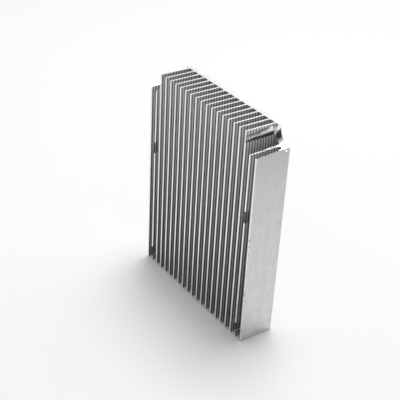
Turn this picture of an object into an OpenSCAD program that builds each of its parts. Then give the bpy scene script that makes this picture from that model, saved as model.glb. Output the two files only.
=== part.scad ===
// Extruded heat sink: a comb of ribbed fins standing on a flat base plate.
// X runs across the fins, Y from the fin tips to the flat back, Z along the extrusion.
// The origin is the middle of the lower sawn end.

/* [Bar] */
// Length of the bar between its two sawn ends
bar_length = 100; // [80:1:160]
// Overall depth, from the fin tips to the flat back
bar_depth = 17.2; // [14:0.1:26]
// Thickness of the base plate behind the fins
base_thick = 2.4; // [1.6:0.1:4]
// Radius along the two long outer edges of the back
back_edge_r = 0.9; // [0.2:0.1:1.4]

/* [Fins] */
// Number of fins
fin_count = 21; // [9:1:31]
// Distance from the middle of one fin to the next
fin_pitch = 3.8; // [3.2:0.1:6]
// Thickness of a fin at its tip
fin_tip = 0.9; // [0.7:0.05:1.3]
// Thickness of a fin at its root, over its ribs
fin_root = 1.05; // [0.8:0.05:1.6]
// Radius where a fin meets the base
root_r = 0.5; // [0.2:0.1:0.8]
// Width of the flat that breaks each corner of a fin tip
tip_break = 0.12; // [0.05:0.01:0.25]

/* [Ribs along the fin sides] */
// Height of a rib above the grooves beside it
rib_height = 0.2; // [0.06:0.01:0.25]
// Distance from the crest of one rib to the next
rib_pitch = 1.38; // [1.2:0.02:2.4]
// Distance from the fin tip to the crest of the first rib
rib_start = 1.45; // [1:0.05:2]

/* [Notches in the upper corners] */
// Fins cut short at each upper corner
notch_fins = 2; // [1:1:3]
// Radius of the round cutter that cleared the fins
notch_r = 6.1; // [5:0.1:8]
// Depth of the cutter's axis below the upper end, at the fin tips
notch_drop = 3.5; // [1:0.1:4.5]
// Depth of the cutter's bite into the tip of the last whole fin
notch_bite = 0.25; // [0.05:0.05:0.3]
// Angle at which the cutter's axis rises towards the base
notch_rise = 3.2; // [0:0.1:5]
// Angle at which the cutter's axis leans in towards the base
notch_lean = 0.6; // [0:0.1:1]
// Radius of the round notch in the base plate
base_notch_r = 6; // [5:0.1:8]
// Depth of its middle below the upper end
base_notch_drop = 2.5; // [1:0.1:4.5]

/* [Screw pockets] */
// Fin that the pockets cut, counted in from each side, where 0 is the outermost
pocket_fin = 1; // [1:1:3]
// Height of the lower pockets above the lower end
low_pocket_z = 4.9; // [3:0.1:12]
// Distance from the lower pockets to the upper ones
pocket_spacing = 57.4; // [20:0.1:60]
// Space between a pocket and the ribs of the fins beside it
pocket_clear = 0.4; // [0.1:0.05:0.8]
// Diameter of the screw holes through the base plate
screw_hole_d = 3.4; // [2.2:0.1:4.5]

/* [Hidden] */

$fn = 48;
over = 1;
arc_steps = 3;

tip_y = -bar_depth / 2;
back_y = bar_depth / 2;
root_y = back_y - base_thick;
fin_height = root_y - tip_y;

bar_width = (fin_count - 1) * fin_pitch + fin_tip;
side_x = bar_width / 2;

ribs_end = fin_height - root_r - rib_pitch / 4;
rib_count = floor((ribs_end - rib_start) / rib_pitch) + 1;

kept_fin = fin_count - 1 - notch_fins;
notch_x = fin_x(kept_fin) + fin_tip / 2 - notch_bite + notch_r;
base_notch_x = fin_x(kept_fin) + fin_root / 2 + root_r + base_notch_r;

pocket_d = 2 * (fin_pitch - fin_root / 2 - pocket_clear);
pocket_x = fin_x(fin_count - 1 - pocket_fin);

// Middle of fin number i
function fin_x(i) = (i - (fin_count - 1) / 2) * fin_pitch;

// Half the thickness of a fin over its ribs, at the distance s from its tip
function half_thick(s) = (fin_tip + (fin_root - fin_tip) * s / fin_height) / 2;

// Groove and crest of one rib whose crest is the distance s from the tip
function rib_points(s) = [
    [half_thick(s - rib_pitch / 2) - rib_height, s - rib_pitch / 2],
    [half_thick(s), s]
];

// Quarter round from the fin's side to the floor of the gap
function root_points() = [
    for (k = [0 : arc_steps])
        let (a = 90 * k / arc_steps)
        [
            half_thick(fin_height) - rib_height + root_r * (1 - cos(a)),
            fin_height - root_r * (1 - sin(a))
        ]
];

// Two corners of a broken tip edge
function tip_points() = [
    [fin_tip / 2 - tip_break, 0],
    [fin_tip / 2, tip_break]
];

// Ribbed side of a fin from tip to root: distance from its middle, distance from its tip
function ribbed_side() = concat(
    tip_points(),
    [for (k = [0 : rib_count - 1]) each rib_points(rib_start + k * rib_pitch)],
    root_points()
);

// The same points placed on the side of fin i that faces dir, -1 or +1
function place_side(i, dir) = [
    for (p = ribbed_side()) [fin_x(i) + dir * p[0], tip_y + p[1]]
];

function reversed(list) = [for (k = [len(list) - 1 : -1 : 0]) list[k]];

// Smooth outer side of an outermost fin, from its tip to the back
function outer_side(dir) = concat(
    [for (p = tip_points()) [dir * (side_x - fin_tip / 2 + p[0]), tip_y + p[1]]],
    [
        for (k = [0 : arc_steps])
            let (a = 90 * k / arc_steps)
            [dir * (side_x - back_edge_r * (1 - cos(a))), back_y - back_edge_r * (1 - sin(a))]
    ]
);

// Section of the extrusion, walked from the back's left end round the fins to its right end
module section() {
    polygon(concat(
        reversed(outer_side(-1)),
        [
            for (i = [0 : fin_count - 2])
                each concat(place_side(i, 1), reversed(place_side(i + 1, -1)))
        ],
        outer_side(1)
    ));
}

// Cylinder along Y, from y0 to y1
module y_cylinder(x, z, r, y0, y1) {
    translate([x, y0, z])
        rotate([-90, 0, 0])
            cylinder(h = y1 - y0, r = r);
}

// Round cutter along Y that runs out to the side and the upper end, its axis at X = Z = 0
module round_cut(r, y0, y1) {
    y_cylinder(0, 0, r, y0, y1);
    translate([0, y0, -r])
        cube([bar_width, y1 - y0, bar_length]);
}

// Notch at the upper right corner, through fins and base
module corner_notch() {
    intersection() {
        translate([notch_x, tip_y, bar_length - notch_drop])
            rotate([notch_rise, 0, notch_lean])
                round_cut(notch_r, -2 * over, fin_height + 2 * over);
        translate([0, tip_y - over, 0])
            cube([bar_width, fin_height + over, 2 * bar_length]);
    }
    translate([base_notch_x, 0, bar_length - base_notch_drop])
        round_cut(base_notch_r, root_y - root_r, back_y + over);
}

// Pocket that clears one fin for a screw head, with its hole through the base
module screw_pocket(z) {
    y_cylinder(pocket_x, z, pocket_d / 2, tip_y - over, root_y);
    y_cylinder(pocket_x, z, screw_hole_d / 2, root_y - over, back_y + over);
}

// Everything machined out of the right half
module machining() {
    corner_notch();
    screw_pocket(low_pocket_z);
    screw_pocket(low_pocket_z + pocket_spacing);
}

module heat_sink() {
    color("silver")
        difference() {
            linear_extrude(height = bar_length) section();
            machining();
            mirror([1, 0, 0]) machining();
        }
}

heat_sink();
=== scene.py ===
"""Looks of an extruded aluminium heat sink that stands on its sawn end.

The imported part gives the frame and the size; the classes below dress it, light it and
place the camera. Lengths named in millimetres are turned into metres by MM.
"""

import logging
import math
from dataclasses import dataclass
from enum import Enum

import bpy
import numpy as np
from mathutils import Matrix, Vector


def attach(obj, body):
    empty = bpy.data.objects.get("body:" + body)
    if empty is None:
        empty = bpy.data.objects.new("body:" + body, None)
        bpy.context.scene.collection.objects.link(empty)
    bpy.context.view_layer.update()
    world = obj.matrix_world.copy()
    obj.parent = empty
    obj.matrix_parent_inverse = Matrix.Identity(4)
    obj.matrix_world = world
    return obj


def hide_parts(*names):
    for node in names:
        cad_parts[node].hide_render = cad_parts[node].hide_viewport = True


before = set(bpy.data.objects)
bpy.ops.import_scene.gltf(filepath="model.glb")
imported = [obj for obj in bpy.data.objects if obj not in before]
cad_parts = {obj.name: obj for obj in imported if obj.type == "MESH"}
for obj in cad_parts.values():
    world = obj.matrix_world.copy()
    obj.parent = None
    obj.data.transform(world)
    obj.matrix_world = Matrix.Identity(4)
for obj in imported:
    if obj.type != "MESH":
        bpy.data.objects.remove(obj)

MM = 0.001
LOG = logging.getLogger("heat_sink_scene")
POCKET_FIN = 1
POCKET_HEIGHTS = (4.9, 62.3)


class Wiring:
    """Short hand for building a node tree: makes nodes, links them and does sums."""

    def __init__(self, tree: bpy.types.NodeTree) -> None:
        """Takes over a node tree and empties it."""
        self.tree = tree
        self.tree.nodes.clear()

    def node(self, kind: str, **settings: object) -> bpy.types.Node:
        """Adds one node.

        Args:
            kind: the node's type name.
            settings: attributes of the node, set as they are.

        Returns:
            The new node.
        """
        made = self.tree.nodes.new(kind)
        for name, value in settings.items():
            setattr(made, name, value)
        return made

    def feed(self, socket: bpy.types.NodeSocket, value: object) -> None:
        """Links a socket to another one, or sets its plain value."""
        if isinstance(value, bpy.types.NodeSocket):
            self.tree.links.new(value, socket)
        else:
            socket.default_value = value

    def math(self, operation: str, *values: object) -> bpy.types.NodeSocket:
        """Adds a Math node on up to three values and returns its result."""
        made = self.node("ShaderNodeMath", operation=operation)
        for socket, value in zip(made.inputs, values):
            self.feed(socket, value)
        return made.outputs[0]

    def noise(self, stretch: tuple[float, float, float], detail: float) -> bpy.types.NodeSocket:
        """Adds a noise pattern fixed to the object.

        Args:
            stretch: waves in a metre along X, Y and Z. An even pattern is turned askew, so
                that its grid never lines up with a flat face.
            detail: how many finer layers lie on top.

        Returns:
            The pattern, from about -0.5 to 0.5.
        """
        place = self.node("ShaderNodeTexCoord")
        mapping = self.node("ShaderNodeMapping")
        self.feed(mapping.inputs["Vector"], place.outputs["Object"])
        self.feed(mapping.inputs["Scale"], stretch)
        if stretch[0] == stretch[1] == stretch[2]:
            self.feed(mapping.inputs["Rotation"], (0.7, 0.4, 1.1))
        made = self.node("ShaderNodeTexNoise")
        self.feed(made.inputs["Vector"], mapping.outputs["Vector"])
        self.feed(made.inputs["Scale"], 1.0)
        self.feed(made.inputs["Detail"], detail)
        return self.math("SUBTRACT", made.outputs[0], 0.5)

    def total(self, base: object, *parts: tuple[bpy.types.NodeSocket, float]) -> bpy.types.NodeSocket:
        """Adds patterns to a base, each one times its weight."""
        for pattern, weight in parts:
            base = self.math("MULTIPLY_ADD", pattern, weight, base)
        return base

    def spread(
        self, value: object, low: float, high: float, start: float, end: float
    ) -> bpy.types.NodeSocket:
        """Maps low to high smoothly onto start to end, and holds still outside."""
        made = self.node("ShaderNodeMapRange", interpolation_type="SMOOTHSTEP")
        names = ("Value", "From Min", "From Max", "To Min", "To Max")
        for name, number in zip(names, (value, low, high, start, end)):
            self.feed(made.inputs[name], number)
        return made.outputs[0]


def smooth_step(value: np.ndarray, low: float, high: float) -> np.ndarray:
    """Rises smoothly from 0 at low to 1 at high: 3t squared less 2t cubed."""
    t = np.clip((value - low) / (high - low), 0.0, 1.0)
    return t * t * (3.0 - 2.0 * t)


def mesh_object(name: str, points: np.ndarray, faces: list[list[int]]) -> bpy.types.Object:
    """Makes a linked mesh object.

    Args:
        name: the object's name.
        points: corner places in millimetres, one row each.
        faces: corner numbers of each face, walked so that it faces outwards.

    Returns:
        The new object, at the origin, its mesh in metres.
    """
    mesh = bpy.data.meshes.new(name)
    mesh.from_pydata((points * MM).tolist(), [], faces)
    mesh.validate()
    mesh.update()
    made = bpy.data.objects.new(name, mesh)
    bpy.context.scene.collection.objects.link(made)
    return made


def tube_faces(around: int, along: int, flip: bool = False) -> list[list[int]]:
    """Numbers the faces of a closed tube whose rings follow each other in the point list.

    Args:
        around: points in a ring.
        along: number of rings.
        flip: walks the faces the other way round.

    Returns:
        The side quads and the two end caps.
    """
    ring, step = np.meshgrid(np.arange(along - 1), np.arange(around), indexing="ij")
    here = ring * around + step
    there = ring * around + (step + 1) % around
    quads = np.stack([here, there, there + around, here + around], axis=-1).reshape(-1, 4)
    caps = [list(range(around))[::-1], list(range((along - 1) * around, along * around))]
    faces = quads.tolist() + caps
    return [face[::-1] for face in faces] if flip else faces


@dataclass
class Comb:
    """The extruded bar: a flat base with ribbed fins, a little bent as handled fins are."""

    length: float = 100.0
    depth: float = 17.2
    base: float = 2.4
    back_round: float = 0.9
    fins: int = 21
    pitch: float = 3.8
    tip: float = 0.9
    root: float = 1.05
    root_round: float = 0.5
    tip_round: float = 0.18
    rib_height: float = 0.2
    rib_pitch: float = 1.38
    rib_start: float = 1.45
    rib_samples: int = 6
    stations: int = 25
    arc_points: int = 5
    sway: float = 0.07
    pushed_in: float = 0.2
    kink: float = 0.3
    kink_heights: tuple[float, float] = (63.0, 72.0)
    bend_power: float = 1.6
    seed: int = 7

    @property
    def reach(self) -> float:
        """Height of a fin above the floor of the gap."""
        return self.depth - self.base

    @property
    def tip_y(self) -> float:
        """Place of the fin tips."""
        return -self.depth / 2

    @property
    def side(self) -> float:
        """Half the width over the outermost fins."""
        return self.pitch * (self.fins - 1) / 2 + self.tip / 2

    def half_thickness(self, s: np.ndarray) -> np.ndarray:
        """Half the thickness over the ribs at the distance s from the tip: a straight taper."""
        return (self.tip + (self.root - self.tip) * s / self.reach) / 2

    def side_profile(self) -> tuple[np.ndarray, np.ndarray]:
        """Ribbed side of a fin from its tip to the gap's floor.

        The tip corner is a quarter circle, each rib is one raised cosine wave, and the
        root is a quarter circle that turns into the floor.

        Returns:
            The distance from the fin's middle and the distance from its tip, as arrays.
        """
        turn = np.linspace(0.0, math.pi / 2, 4)
        corner_s = self.tip_round * (1 - np.sin(math.pi / 2 - turn))
        corner_x = self.tip / 2 - self.tip_round * (1 - np.sin(turn))
        start = self.reach - self.root_round
        count = round((start - self.tip_round) / self.rib_pitch * self.rib_samples)
        rib_s = np.linspace(self.tip_round, start, count + 1)[1:]
        wave = 0.5 - 0.5 * np.cos(2 * math.pi * (rib_s - self.rib_start) / self.rib_pitch)
        rib_x = self.half_thickness(rib_s) - self.rib_height * wave
        bend = np.linspace(0.0, math.pi / 2, self.arc_points)[1:]
        arc_x = rib_x[-1] + self.root_round * (1 - np.cos(bend))
        arc_s = start + self.root_round * np.sin(bend)
        return np.concatenate([corner_x, rib_x, arc_x]), np.concatenate([corner_s, rib_s, arc_s])

    def plain_profile(self, s: np.ndarray) -> np.ndarray:
        """Outer side of an outermost fin: flat, with the same rounded tip corner."""
        inside = np.clip(self.tip_round - s, 0.0, None)
        dip = self.tip_round - np.sqrt(np.clip(self.tip_round**2 - inside**2, 0.0, None))
        return self.tip / 2 - dip

    def bends(self, z: np.ndarray) -> np.ndarray:
        """Sideways shift of each fin's tip at each height.

        A lean and two slow sine waves, of random size and phase for each fin, and none
        towards the outside on the outermost ones. The last fin but one is pushed in, and
        the second has a kink.

        Args:
            z: the heights.

        Returns:
            One row for each fin, one column for each height.
        """
        random = np.random.default_rng(self.seed)
        size = random.uniform(-1.0, 1.0, (self.fins, 3)) * self.sway
        phase = random.uniform(0.0, 2 * math.pi, (self.fins, 2))
        turn = 2 * math.pi * z[None, :] / self.length
        shift = size[:, :1] * 0.8 + size[:, 1:2] * np.sin(0.8 * turn + phase[:, :1])
        shift = shift + 0.5 * size[:, 2:] * np.sin(2.1 * turn + phase[:, 1:])
        shift[-2] -= self.pushed_in
        shift[1] += self.kink * smooth_step(z, *self.kink_heights)
        shift[0] = np.abs(shift[0])
        shift[-1] = -np.abs(shift[-1])
        return shift

    def build(self) -> bpy.types.Object:
        """Builds the closed mesh: the section walked round at each height, and two caps."""
        z = np.linspace(0.0, self.length, self.stations)
        rib_x, s = self.side_profile()
        rows = len(s)
        centre = (np.arange(self.fins) - (self.fins - 1) / 2) * self.pitch
        left = np.repeat(rib_x[None, :], self.fins, axis=0)
        right = left.copy()
        left[0] = self.plain_profile(s)
        right[-1] = self.plain_profile(s)
        shift = self.bends(z)[:, :, None] * ((1 - s / self.reach) ** self.bend_power)[None, None, :]
        left_x = centre[:, None, None] - left[:, None, :] + shift
        right_x = centre[:, None, None] + right[:, None, :] + shift
        y = self.tip_y + s
        turn = np.linspace(0.0, math.pi / 2, self.arc_points)
        arc_x = self.side - self.back_round * (1 - np.cos(turn))
        arc_y = self.depth / 2 - self.back_round * (1 - np.sin(turn))
        columns = np.stack([left_x[:, 0, -1], right_x[:, 0, -1]], axis=1).reshape(-1)
        back_x = columns[1:-1][::-1]
        section = []
        for fin in range(self.fins):
            outward = np.broadcast_to(y, left_x[fin].shape)
            section.append(np.stack([left_x[fin][:, ::-1], outward[:, ::-1]], axis=-1))
            section.append(np.stack([right_x[fin], outward], axis=-1))
        close = np.concatenate([
            np.stack([arc_x, arc_y], axis=-1),
            np.stack([back_x, np.full(len(back_x), self.depth / 2)], axis=-1),
            np.stack([-arc_x[::-1], arc_y[::-1]], axis=-1),
        ])
        section.append(np.broadcast_to(close, (self.stations, *close.shape)))
        ring = np.concatenate(section, axis=1)
        around = ring.shape[1]
        level = np.broadcast_to(z[:, None, None], (self.stations, around, 1))
        points = np.concatenate([ring, level], axis=-1)
        step, level = np.meshgrid(np.arange(around), np.arange(self.stations - 1))
        here = level * around + step
        there = level * around + (step + 1) % around
        walls = np.stack([here, there, there + around, here + around], axis=-1).reshape(-1, 4)
        cap = self.cap_faces(rows)
        top = (self.stations - 1) * around
        faces = walls.tolist() + [face[::-1] for face in cap] + [[n + top for n in face] for face in cap]
        return mesh_object("finned_bar", points.reshape(-1, 3), faces)

    def cap_faces(self, rows: int) -> list[list[int]]:
        """Numbers the faces of one sawn end, seen from above.

        Args:
            rows: points on one side of a fin.

        Returns:
            Strips across each fin, cells across the base and the two corner pieces.
        """
        fin, row = np.meshgrid(np.arange(self.fins), np.arange(rows - 1), indexing="ij")
        start = fin * 2 * rows
        left = start + rows - 1 - row
        right = start + rows + row
        strips = np.stack([left, right, right + 1, left - 1], axis=-1).reshape(-1, 4).tolist()
        close = self.fins * 2 * rows
        arc = self.arc_points
        back = list(range(close + arc, close + arc + 2 * self.fins - 2))[::-1]
        roots = [n for fin in range(self.fins) for n in (fin * 2 * rows, fin * 2 * rows + 2 * rows - 1)]
        last = close + arc + 2 * self.fins - 2
        cells = [[roots[n], roots[n + 1], back[n], back[n - 1]] for n in range(1, 2 * self.fins - 2)]
        cells.append([roots[0], roots[1], back[0]] + list(range(last, last + arc)))
        cells.append([roots[-2], roots[-1]] + list(range(close, close + arc)) + [back[-1]])
        return strips + cells


class Corner(Enum):
    """Upper corner that a notch is cut from: the sign of its side."""

    LEFT = -1
    RIGHT = 1


def ripple(angle: np.ndarray, place: np.ndarray, seed: int) -> np.ndarray:
    """Uneven surface that a cutter leaves, about 1 high.

    A sum of sine waves of rising count round the cutter and slow change along it, each
    with a random size and phase.

    Args:
        angle: angle round the cutter.
        place: distance along it.
        seed: which random set.

    Returns:
        The height at each point.
    """
    random = np.random.default_rng(seed)
    total = np.zeros(np.broadcast(angle, place).shape)
    for count in (9, 23, 41, 67, 101):
        size, turn, drift = random.uniform(0.3, 1.0), random.uniform(0, 6.28), random.uniform(0.2, 1.4)
        total += size * np.sin(count * angle + turn + drift * place)
    return total / 2.5


@dataclass
class CornerNotch:
    """Round cut through the outer fins and the base at one upper corner.

    The fin cutter is a bumpy drum that lies along the depth, a little tilted, and it just
    shaves the ribs of the last whole fin. It stays short by ledge over the cut fins, with
    ragged burrs there, and reaches deeper by dip beside them. Angles run in degrees round
    the drum, from the outer side over the top.
    """

    corner: Corner = Corner.RIGHT
    radius: float = 6.1
    front_x: float = 36.7
    front_z: float = 96.5
    lean_x: float = -0.0105
    lean_z: float = 0.055
    base_x: float = 37.4
    base_z: float = 97.5
    base_radius: float = 6.0
    base_lean: float = 0.3
    front: float = -8.6
    inner: float = 6.2
    back: float = 8.6
    overrun: float = 1.5
    overlap: float = 0.25
    facets: int = 288
    fin_rings: int = 36
    base_rings: int = 12
    roughness: float = 0.018
    burr: float = 0.03
    ledge: float = 0.75
    ledge_start: tuple[float, float] = (250.0, 272.0)
    ledge_end: tuple[float, float] = (320.0, 345.0)
    dip: float = 0.35
    dip_angle: float = 241.0
    dip_width: float = 7.0
    dip_run: tuple[float, float] = (-8.0, 4.0)
    seed: int = 3

    def drum(
        self, name: str, y: np.ndarray, x: np.ndarray, z: np.ndarray, reach: np.ndarray
    ) -> bpy.types.Object:
        """Builds one cutter: rings of points at the radius reach round the axis.

        Args:
            name: the object's name.
            y: place of each ring.
            x: middle of each ring across the bar, for the right corner.
            z: height of each ring's middle.
            reach: radius at each ring and angle.

        Returns:
            The closed cutter.
        """
        around = reach.shape[1]
        angle = np.linspace(0.0, 2 * math.pi, around, endpoint=False)
        across = (x[:, None] + reach * np.cos(angle)) * self.corner.value
        height = z[:, None] + reach * np.sin(angle)
        points = np.stack([across, np.broadcast_to(y[:, None], across.shape), height], axis=-1)
        flip = self.corner is Corner.RIGHT
        return mesh_object(name, points.reshape(-1, 3), tube_faces(around, len(y), flip))

    def cutters(self) -> list[bpy.types.Object]:
        """Builds the fin cutter and the base cutter."""
        return [self.fin_cutter(), self.base_cutter()]

    def fin_cutter(self) -> bpy.types.Object:
        """Builds the tilted drum that clears the fins."""
        angle = np.linspace(0.0, 2 * math.pi, self.facets, endpoint=False)
        y = np.linspace(self.front - self.overrun, self.inner, self.fin_rings)
        run = y - self.front
        around, along = np.meshgrid(angle, y)
        degrees = np.degrees(around)
        reach = self.radius + self.roughness * ripple(around, along, self.seed)
        ragged = ripple(2 * around, 3 * along, self.seed + 7) * (degrees > self.ledge_start[0])
        ledge = smooth_step(degrees, *self.ledge_start) * (1 - smooth_step(degrees, *self.ledge_end))
        dip = np.exp(-((degrees - self.dip_angle) / self.dip_width) ** 2)
        fade = 1 - 0.5 * smooth_step(along, *self.dip_run)
        reach = reach + self.burr * ragged - self.ledge * ledge + self.dip * dip * fade
        x = self.front_x + self.lean_x * run
        z = self.front_z + self.lean_z * run
        return self.drum(f"{self.corner.name.lower()}_fin_cutter", y, x, z, reach)

    def base_cutter(self) -> bpy.types.Object:
        """Builds the leaning drum that cuts the base."""
        angle = np.linspace(0.0, 2 * math.pi, self.facets, endpoint=False)
        y = np.linspace(self.inner - self.overlap, self.back + self.overrun, self.base_rings)
        around, along = np.meshgrid(angle, y)
        reach = self.base_radius + self.roughness * ripple(around, along, self.seed + 1)
        x = np.full(len(y), self.base_x)
        z = self.base_z + self.base_lean * (y - self.back)
        return self.drum(f"{self.corner.name.lower()}_base_cutter", y, x, z, reach)


@dataclass
class ScrewPocket:
    """Round pocket through one fin over a screw hole in the base; across, height and hole are radii."""

    x: float
    z: float
    across: float = 3.2
    height: float = 2.85
    hole: float = 1.7
    front: float = -8.6
    inner: float = 6.2
    back: float = 8.6
    pocket_overrun: float = 1.5
    drill_overrun: float = 1.0
    drill_overlap: float = 0.6
    facets: int = 96
    roughness: float = 0.09
    seed: int = 11

    def cutters(self) -> list[bpy.types.Object]:
        """Builds the pocket cutter and the drill."""
        angle = np.linspace(0.0, 2 * math.pi, self.facets, endpoint=False)
        made = []
        pocket_y = np.linspace(self.front - self.pocket_overrun, self.inner, 24)
        drill_y = np.linspace(self.inner - self.drill_overlap, self.back + self.drill_overrun, 3)
        sizes = (
            ("pocket", self.across, self.height, pocket_y, self.roughness),
            ("drill", self.hole, self.hole, drill_y, 0.0),
        )
        for word, wide, tall, y, rough in sizes:
            around, along = np.meshgrid(angle, y)
            uneven = rough * ripple(around, along * 3, self.seed)
            across = self.x + (wide + uneven) * np.cos(around)
            height = self.z + (tall + uneven) * np.sin(around)
            points = np.stack([across, along, height], axis=-1)
            name = f"{word}_{self.seed}"
            made.append(mesh_object(name, points.reshape(-1, 3), tube_faces(len(angle), len(y), True)))
        return made


@dataclass
class EdgeNicks:
    """Small dents along the two outer front edges, where the bar was knocked in handling.

    A run gives its lowest and highest place and how many dents it has. The left edge has
    the same places in another spread, and outside is how far a dent's middle lies clear.
    """

    comb: Comb
    runs: tuple[tuple[float, float, int], ...] = (
        (18.0, 54.0, 13),
        (65.0, 73.0, 3),
        (4.0, 14.0, 2),
        (78.0, 88.0, 2),
    )
    small: float = 0.25
    large: float = 0.55
    outside: float = 0.06
    left_scale: float = 0.97
    left_shift: float = 1.0
    seed: int = 21

    def cutter(self) -> bpy.types.Object:
        """Builds all the dents as one set of separate eight-sided grains, each a squashed octahedron."""
        random = np.random.default_rng(self.seed)
        heights = np.concatenate([
            low + (np.arange(count) + random.uniform(0.15, 0.85, count)) * (high - low) / count
            for low, high, count in self.runs
        ])
        count = len(heights)
        side = np.repeat([-1.0, 1.0], count)
        z = np.concatenate([heights[::-1] * self.left_scale + self.left_shift, heights])
        size = random.uniform(self.small, self.large, (2 * count, 1))
        size = size * random.uniform(0.7, 1.3, (2 * count, 3))
        x = side * (self.comb.side + self.outside)
        y = np.full(2 * count, self.comb.tip_y - self.outside)
        middle = np.stack([x, y, z], axis=-1)
        ways = np.array([[1, 0, 0], [-1, 0, 0], [0, 1, 0], [0, -1, 0], [0, 0, 1.6], [0, 0, -1.6]], float)
        points = middle[:, None, :] + ways[None, :, :] * size[:, None, :]
        upper = [[0, 2, 4], [2, 1, 4], [1, 3, 4], [3, 0, 4]]
        lower = [[2, 0, 5], [1, 2, 5], [3, 1, 5], [0, 3, 5]]
        corner = np.array(upper + lower)
        faces = (corner[None, :, :] + 6 * np.arange(2 * count)[:, None, None]).reshape(-1, 3)
        return mesh_object("edge_nicks", points.reshape(-1, 3), faces.tolist())


def carve(body: bpy.types.Object, tools: list[bpy.types.Object], slot: int) -> None:
    """Cuts each tool out of the body in turn and clears the tool away.

    Args:
        body: the object to cut.
        tools: closed cutters.
        slot: number of the finish that the cut faces get.
    """
    for tool in tools:
        for finish in body.data.materials:
            tool.data.materials.append(finish)
        tool.data.polygons.foreach_set("material_index", np.full(len(tool.data.polygons), slot, np.int32))
        cut = body.modifiers.new(tool.name, "BOOLEAN")
        cut.operation = "DIFFERENCE"
        cut.solver = "MANIFOLD"
        cut.object = tool
        bpy.context.view_layer.update()
        graph = bpy.context.evaluated_depsgraph_get()
        result = bpy.data.meshes.new_from_object(body.evaluated_get(graph))
        body.modifiers.clear()
        old = body.data
        body.data = result
        bpy.data.meshes.remove(old)
        spent = tool.data
        bpy.data.objects.remove(tool)
        bpy.data.meshes.remove(spent)


@dataclass(frozen=True)
class MetalFinish:
    """One state of the aluminium's surface.

    Fine lines run the way that the metal was drawn or cut, soft blotches lie under them,
    and small dark specks are scattered over both. Patterns are in waves a metre, and
    line_depth is in millimetres. The parts are the weights of lines, blotches and specks
    in the roughness, and of blotches and specks in the relief beside the lines.
    """

    name: str
    tone: float
    metallic: float
    roughness: float
    lines: tuple[float, float, float]
    line_tone: float
    line_depth: float
    blotch_tone: float
    speck_tone: float = 0.0
    speck_edge: tuple[float, float] = (0.16, 0.24)
    blotches: float = 260.0
    specks: float = 1500.0
    rough_parts: tuple[float, float, float] = (0.15, 0.2, 0.2)
    bump_parts: tuple[float, float] = (0.8, -0.5)

    def shade(self, wiring: Wiring, tone: bpy.types.NodeSocket) -> bpy.types.NodeSocket:
        """Gives the tone as it is; a finish with a pattern of its own changes it."""
        return tone

    def material(self) -> bpy.types.Material:
        """Builds the finish and returns it."""
        made = bpy.data.materials.new(self.name)
        made.use_nodes = True
        wiring = Wiring(made.node_tree)
        fine = wiring.noise(self.lines, 3.0)
        soft = wiring.noise((self.blotches,) * 3, 4.0)
        speck = wiring.spread(wiring.noise((self.specks,) * 3, 1.0), *self.speck_edge, 0.0, 1.0)
        shades = (fine, self.line_tone), (soft, self.blotch_tone), (speck, -self.speck_tone)
        tone = wiring.total(self.tone, *shades)
        rough = wiring.total(self.roughness, *zip((fine, soft, speck), self.rough_parts))
        shader = wiring.node("ShaderNodeBsdfPrincipled")
        wiring.feed(shader.inputs["Base Color"], self.shade(wiring, tone))
        wiring.feed(shader.inputs["Metallic"], self.metallic)
        wiring.feed(shader.inputs["Roughness"], rough)
        bump = wiring.node("ShaderNodeBump")
        wiring.feed(bump.inputs["Distance"], self.line_depth * MM)
        wiring.feed(bump.inputs["Height"], wiring.total(fine, *zip((soft, speck), self.bump_parts)))
        wiring.feed(shader.inputs["Normal"], bump.outputs[0])
        out = wiring.node("ShaderNodeOutputMaterial")
        wiring.feed(out.inputs["Surface"], shader.outputs[0])
        return made


@dataclass(frozen=True)
class RibbedFinishAndPaintedShade(MetalFinish):
    """Ribbed wall with painted shade: darker in the grooves, so the crests stay brighter, and darker towards
    the lower end, where less light reaches down the gaps.

    groove and foot are the shares of the tone left there, and wave_edge is the stretch of
    the cosine wave over which the tone rises from groove to crest.
    """

    # share of the tone left in the grooves: painted shade
    groove: float = 0.3
    rib_pitch: float = 1.38
    first_crest: float = -7.15
    # share of the tone left at the lower end: painted shade down the gaps
    foot: float = 0.5
    length: float = 100.0
    wave_edge: tuple[float, float] = (-0.9, 0.7)

    def shade(self, wiring: Wiring, tone: bpy.types.NodeSocket) -> bpy.types.NodeSocket:
        """Multiplies the tone by a cosine wave along the depth, painted shade in the grooves, and darkens it
        towards the lower end, painted shade that deepens down the gaps.
        """
        split = wiring.node("ShaderNodeSeparateXYZ")
        wiring.feed(split.inputs[0], wiring.node("ShaderNodeTexCoord").outputs["Object"])
        per_metre = 2 * math.pi / (self.rib_pitch * MM)
        turn = wiring.math("MULTIPLY_ADD", split.outputs["Y"], per_metre, -self.first_crest * MM * per_metre)
        # the cosine wave darkens the grooves: painted shade
        wave = wiring.math("COSINE", turn)
        tone = wiring.math("MULTIPLY", tone, wiring.spread(wave, *self.wave_edge, self.groove, 1.0))
        # darker towards the lower end: painted shade
        painted_height_shade = wiring.spread(split.outputs["Z"], 0.0, self.length * MM, self.foot, 1.0)
        return wiring.math("MULTIPLY", tone, painted_height_shade)


EXTRUDED = MetalFinish("extruded_face", 0.65, 1.0, 0.36, (1100, 1100, 9), 0.2, 0.008, 0.22, 0.05)
TIPS = MetalFinish("fin_tip", 0.92, 1.0, 0.3, (1500, 1500, 25), 0.12, 0.006, 0.1, 0.1)
# ribbed walls: tone with painted shade in the grooves and towards the lower end
RIBBED = RibbedFinishAndPaintedShade("ribbed_wall_painted_shade", 0.95, 0.4, 0.42, (2600, 2600, 20), 0.3, 0.01, 0.15)
SAWN = MetalFinish("sawn_end", 0.88, 0.8, 0.5, (60, 2600, 60), 0.2, 0.012, 0.12, 0.1)
MILLED = MetalFinish("milled_cut", 0.95, 1.0, 0.24, (1800, 90, 1800), 0.3, 0.015, 0.2, 0.4)

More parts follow.
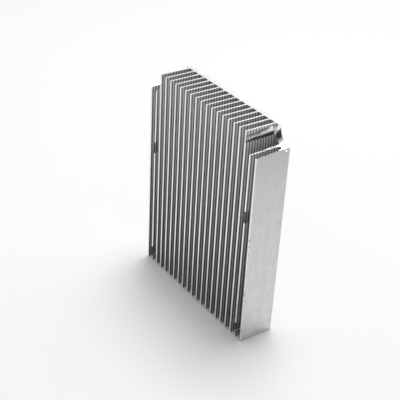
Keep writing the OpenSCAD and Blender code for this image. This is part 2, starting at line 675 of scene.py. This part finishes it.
# the dark tone on the dents' faces is painted shade in the dents
SHADED_DENT = MetalFinish("dent_painted_shade", 0.3, 0.5, 0.6, (900, 900, 900), 0.2, 0.01, 0.2)
FINISHES = (EXTRUDED, RIBBED, SAWN, TIPS, MILLED, SHADED_DENT)
TIP_FACING = 0.3
END_FACING = 0.98
SHARP_ANGLE = 35


def dress(bar: bpy.types.Object, comb: Comb) -> None:
    """Gives each face of the uncut bar its finish by its place and the way it faces.

    Sawn ends face along the bar. Fin tips lie at the front. Ribbed walls lie between the
    fins, back from the tips. The rest is as extruded.

    Args:
        bar: the bar, before it is cut.
        comb: its sizes.
    """
    mesh = bar.data
    count = len(mesh.polygons)
    centre = np.empty(count * 3)
    normal = np.empty(count * 3)
    mesh.polygons.foreach_get("center", centre)
    mesh.polygons.foreach_get("normal", normal)
    centre = centre.reshape(-1, 3) / MM
    normal = normal.reshape(-1, 3)
    slack = 0.05
    inside = centre[:, 1] < comb.depth / 2 - comb.base + slack
    inside &= np.abs(centre[:, 0]) < comb.side - 2 * slack
    at_tip = (centre[:, 1] < comb.tip_y + comb.tip_round) & (normal[:, 1] < -TIP_FACING)
    kind = np.full(count, FINISHES.index(EXTRUDED), np.int32)
    kind[inside] = FINISHES.index(RIBBED)
    kind[at_tip] = FINISHES.index(TIPS)
    kind[np.abs(normal[:, 2]) > END_FACING] = FINISHES.index(SAWN)
    for finish in FINISHES:
        mesh.materials.append(finish.material())
    mesh.polygons.foreach_set("material_index", kind)


def part_finishes(mesh: bpy.types.Mesh) -> None:
    """Smooths the shading, but keeps steep edges and the edges between two finishes sharp."""
    count = len(mesh.polygons)
    mesh.polygons.foreach_set("use_smooth", np.ones(count, bool))
    mesh.set_sharp_from_angle(angle=math.radians(SHARP_ANGLE))
    kind = np.empty(count, np.int32)
    sides = np.empty(count, np.int32)
    edge = np.empty(len(mesh.loops), np.int32)
    sharp = np.empty(len(mesh.edges), bool)
    mesh.polygons.foreach_get("material_index", kind)
    mesh.polygons.foreach_get("loop_total", sides)
    mesh.loops.foreach_get("edge_index", edge)
    mesh.edges.foreach_get("use_edge_sharp", sharp)
    owner = np.repeat(kind, sides)
    least = np.full(len(sharp), len(FINISHES))
    most = np.zeros(len(sharp), int)
    np.minimum.at(least, edge, owner)
    np.maximum.at(most, edge, owner)
    mesh.edges.foreach_set("use_edge_sharp", sharp | (least != most))


@dataclass
class Studio:
    """Pale floor, soft lamp, surroundings and the camera."""

    floor_reach: float = 6.0
    floor_colour: tuple[float, float, float] = (0.9, 0.9, 0.9)
    lamp_place: tuple[float, float, float] = (-0.16, 0.264, 1.214)
    lamp_size: tuple[float, float] = (0.6, 0.7)
    lamp_power: float = 10.5
    azimuth: float = 53.7186
    elevation: float = 31.4811
    roll: float = 3.1391
    distance: float = 404.985 * MM
    aside: float = -5.188 * MM
    aim_height: float = 49.457 * MM
    lens: float = 82.217
    dark_side: tuple[float, float, float] = (0.82, 0.5, 0.13)
    dark_edge: tuple[float, float] = (0.75, 0.93)
    glow: tuple[float, float] = (0.5, 0.04)
    card_radius: float = 0.28
    card_height: float = 0.3
    card_span: tuple[float, float] = (-20.0, 80.0)
    card_columns: int = 24
    card_colour: tuple[float, float, float] = (0.01, 0.01, 0.01)

    def floor(self) -> bpy.types.Object:
        """Lays the floor: a square plate, pale, that keeps the object's shadow."""
        reach = self.floor_reach
        mesh = bpy.data.meshes.new("studio_floor")
        corners = np.array([[-reach, -reach, 0], [reach, -reach, 0], [reach, reach, 0], [-reach, reach, 0]])
        mesh.from_pydata(corners.tolist(), [], [(0, 1, 2, 3)])
        made = bpy.data.objects.new("studio_floor", mesh)
        bpy.context.scene.collection.objects.link(made)
        material = bpy.data.materials.new("studio_floor")
        material.use_nodes = True
        wiring = Wiring(material.node_tree)
        diffuse = wiring.node("ShaderNodeBsdfDiffuse")
        wiring.feed(diffuse.inputs["Color"], (*self.floor_colour, 1.0))
        out = wiring.node("ShaderNodeOutputMaterial")
        wiring.feed(out.inputs["Surface"], diffuse.outputs[0])
        mesh.materials.append(material)
        return made

    def dark_card(self) -> None:
        """Stands a dark curved card past the right side, which only reflections see.

        An arc at one radius round the object, swept straight up from the floor.
        """
        columns = self.card_columns
        turn = np.radians(np.linspace(*self.card_span, columns))
        foot = self.card_radius * np.stack([np.cos(turn), np.sin(turn), 0 * turn], axis=-1)
        points = np.concatenate([foot, foot + np.array([0.0, 0.0, self.card_height])])
        step = np.arange(columns - 1)
        faces = np.stack([step, step + columns, step + columns + 1, step + 1], axis=-1)
        mesh = bpy.data.meshes.new("dark_card")
        mesh.from_pydata(points.tolist(), [], faces.tolist())
        made = bpy.data.objects.new("dark_card", mesh)
        bpy.context.scene.collection.objects.link(made)
        made.visible_camera = False
        made.visible_diffuse = False
        made.visible_shadow = False
        made.visible_transmission = False
        material = bpy.data.materials.new("dark_card")
        material.use_nodes = True
        wiring = Wiring(material.node_tree)
        matt = wiring.node("ShaderNodeBsdfDiffuse")
        wiring.feed(matt.inputs["Color"], (*self.card_colour, 1.0))
        out = wiring.node("ShaderNodeOutputMaterial")
        wiring.feed(out.inputs["Surface"], matt.outputs[0])
        mesh.materials.append(material)

    def lamp(self) -> None:
        """Hangs one soft rectangular lamp that faces the object."""
        light = bpy.data.lights.new("key_light", "AREA")
        light.shape = "RECTANGLE"
        light.size, light.size_y = self.lamp_size
        light.energy = self.lamp_power
        made = bpy.data.objects.new("key_light", light)
        bpy.context.scene.collection.objects.link(made)
        made.location = self.lamp_place
        aim = Vector((0, 0, self.aim_height)) - Vector(self.lamp_place)
        made.rotation_euler = aim.to_track_quat("-Z", "Y").to_euler()

    def surroundings(self) -> None:
        """Sets the world: white to the camera, otherwise grey with one dark side."""
        world = bpy.data.worlds.new("surroundings")
        bpy.context.scene.world = world
        world.use_nodes = True
        wiring = Wiring(world.node_tree)
        place = wiring.node("ShaderNodeTexCoord")
        toward = wiring.node("ShaderNodeVectorMath", operation="DOT_PRODUCT")
        wiring.feed(toward.inputs[0], place.outputs["Generated"])
        wiring.feed(toward.inputs[1], tuple(Vector(self.dark_side).normalized()))
        ramp = wiring.node("ShaderNodeMapRange", interpolation_type="SMOOTHSTEP")
        wiring.feed(ramp.inputs["Value"], toward.outputs["Value"])
        for name, value in zip(("From Min", "From Max", "To Min", "To Max"), self.dark_edge + self.glow):
            wiring.feed(ramp.inputs[name], value)
        path = wiring.node("ShaderNodeLightPath")
        seen = path.outputs["Is Camera Ray"]
        unseen = wiring.math("SUBTRACT", 1.0, seen)
        level = wiring.math("ADD", wiring.math("MULTIPLY", unseen, ramp.outputs[0]), seen)
        back = wiring.node("ShaderNodeBackground")
        wiring.feed(back.inputs["Color"], (1.0, 1.0, 1.0, 1.0))
        wiring.feed(back.inputs["Strength"], level)
        out = wiring.node("ShaderNodeOutputWorld")
        wiring.feed(out.inputs["Surface"], back.outputs[0])

    def camera(self) -> None:
        """Stands the camera at its angle, turned a little about its own axis."""
        az, el, turn = (math.radians(a) for a in (self.azimuth, self.elevation, self.roll))
        back = Vector((math.sin(az) * math.cos(el), -math.cos(az) * math.cos(el), math.sin(el)))
        right = Vector((math.cos(az), math.sin(az), 0.0))
        up = back.cross(right)
        across = math.cos(turn) * right + math.sin(turn) * up
        upward = math.cos(turn) * up - math.sin(turn) * right
        place = right * self.aside + Vector((0, 0, self.aim_height)) + back * self.distance
        data = bpy.data.cameras.new("camera")
        data.lens = self.lens
        data.sensor_width = 36.0
        data.clip_start = 0.01
        data.clip_end = 50.0
        made = bpy.data.objects.new("camera", data)
        bpy.context.scene.collection.objects.link(made)
        turned = Matrix((across, upward, back)).transposed().to_4x4()
        turned.translation = place
        made.matrix_world = turned
        bpy.context.scene.camera = made

    def build(self) -> None:
        """Sets up everything that isn't the object."""
        self.floor()
        self.dark_card()
        self.lamp()
        self.surroundings()
        self.camera()
        bpy.context.scene.view_settings.view_transform = "Standard"


def main() -> None:
    """Builds the object's looks and the studio."""
    logging.basicConfig(level=logging.INFO)
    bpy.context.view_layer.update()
    comb = Comb()
    bar = comb.build()
    tools = []
    for corner in Corner:
        tools += CornerNotch(corner=corner, seed=5 + 2 * corner.value).cutters()
    pocket_x = comb.pitch * ((comb.fins - 1) / 2 - POCKET_FIN)
    places = [(side * pocket_x, height) for side in (1, -1) for height in POCKET_HEIGHTS]
    for number, (x, z) in enumerate(places):
        tools += ScrewPocket(x=x, z=z, seed=ScrewPocket.seed + number).cutters()
    dress(bar, comb)
    carve(bar, tools, FINISHES.index(MILLED))
    # the dents get the dark tone: painted shade
    carve(bar, [EdgeNicks(comb).cutter()], FINISHES.index(SHADED_DENT))
    part_finishes(bar.data)
    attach(bar, "root")
    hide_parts("heat_sink")
    LOG.info("finned_bar: %d faces", len(bar.data.polygons))
    Studio().build()


if __name__ == "__main__":
    main()
